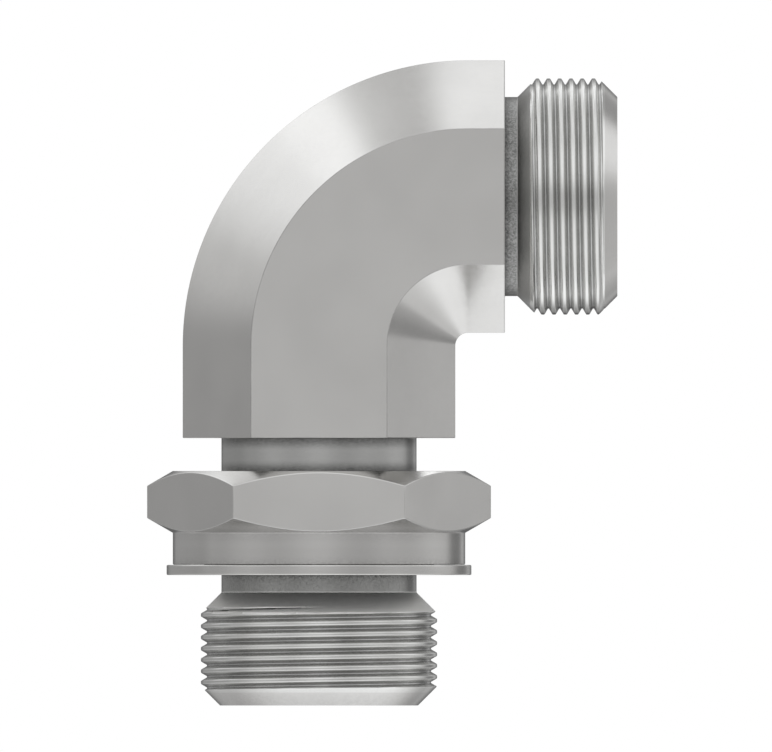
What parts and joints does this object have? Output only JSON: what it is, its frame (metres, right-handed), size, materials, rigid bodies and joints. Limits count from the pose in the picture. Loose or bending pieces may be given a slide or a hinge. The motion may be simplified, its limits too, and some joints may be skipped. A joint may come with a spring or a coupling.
{
  "type": "adjustable elbow pipe fitting",
  "caption": "Right-angle hydraulic elbow of hexagonal section: threaded tube end with cone, and an adjustable threaded stud with lock nut, retaining ring and O-ring.",
  "frame": {"origin": "centre of the base of the whole fitting's box, in the plane of the stud's end face; the stud's axis stands at x = -11.2246 mm, y = 0", "axes": "+Z along the stud's axis, from the port towards the bend; +X from the stud towards the tube end; +Y across the fitting, away from the viewer of the picture"},
  "size_m": [0.0836, 0.0542, 0.1147],
  "materials": {
    "body_steel": "satin bright zinc plate on machined steel",
    "nut_steel": "satin bright zinc plate on turned hexagonal bar",
    "ring_steel": "satin bright zinc plate on turned steel",
    "seal_rubber": "smooth black nitrile rubber"
  },
  "bodies": {
    "elbow_body": {"elbow_body": "body_steel"},
    "retaining_ring": {"retaining_ring": "ring_steel", "o_ring": "seal_rubber"},
    "lock_nut": {"lock_nut": "nut_steel"}
  },
  "joints": [
    {"name": "ring_slide", "type": "slide", "parent": "elbow_body", "child": "retaining_ring", "axis": [0, 0, 1], "range_m": [-0.003, 0.005]},
    {"name": "nut_turn", "type": "hinge", "parent": "retaining_ring", "child": "lock_nut", "pos_m": [-0.01122, 0, 0.0362], "axis": [0, 0, 1], "range_deg": [-540, 900]}
  ],
  "couplings": [
    {"joint": "ring_slide", "follows": "nut_turn", "m_per_rad": 0.0003183}
  ]
}
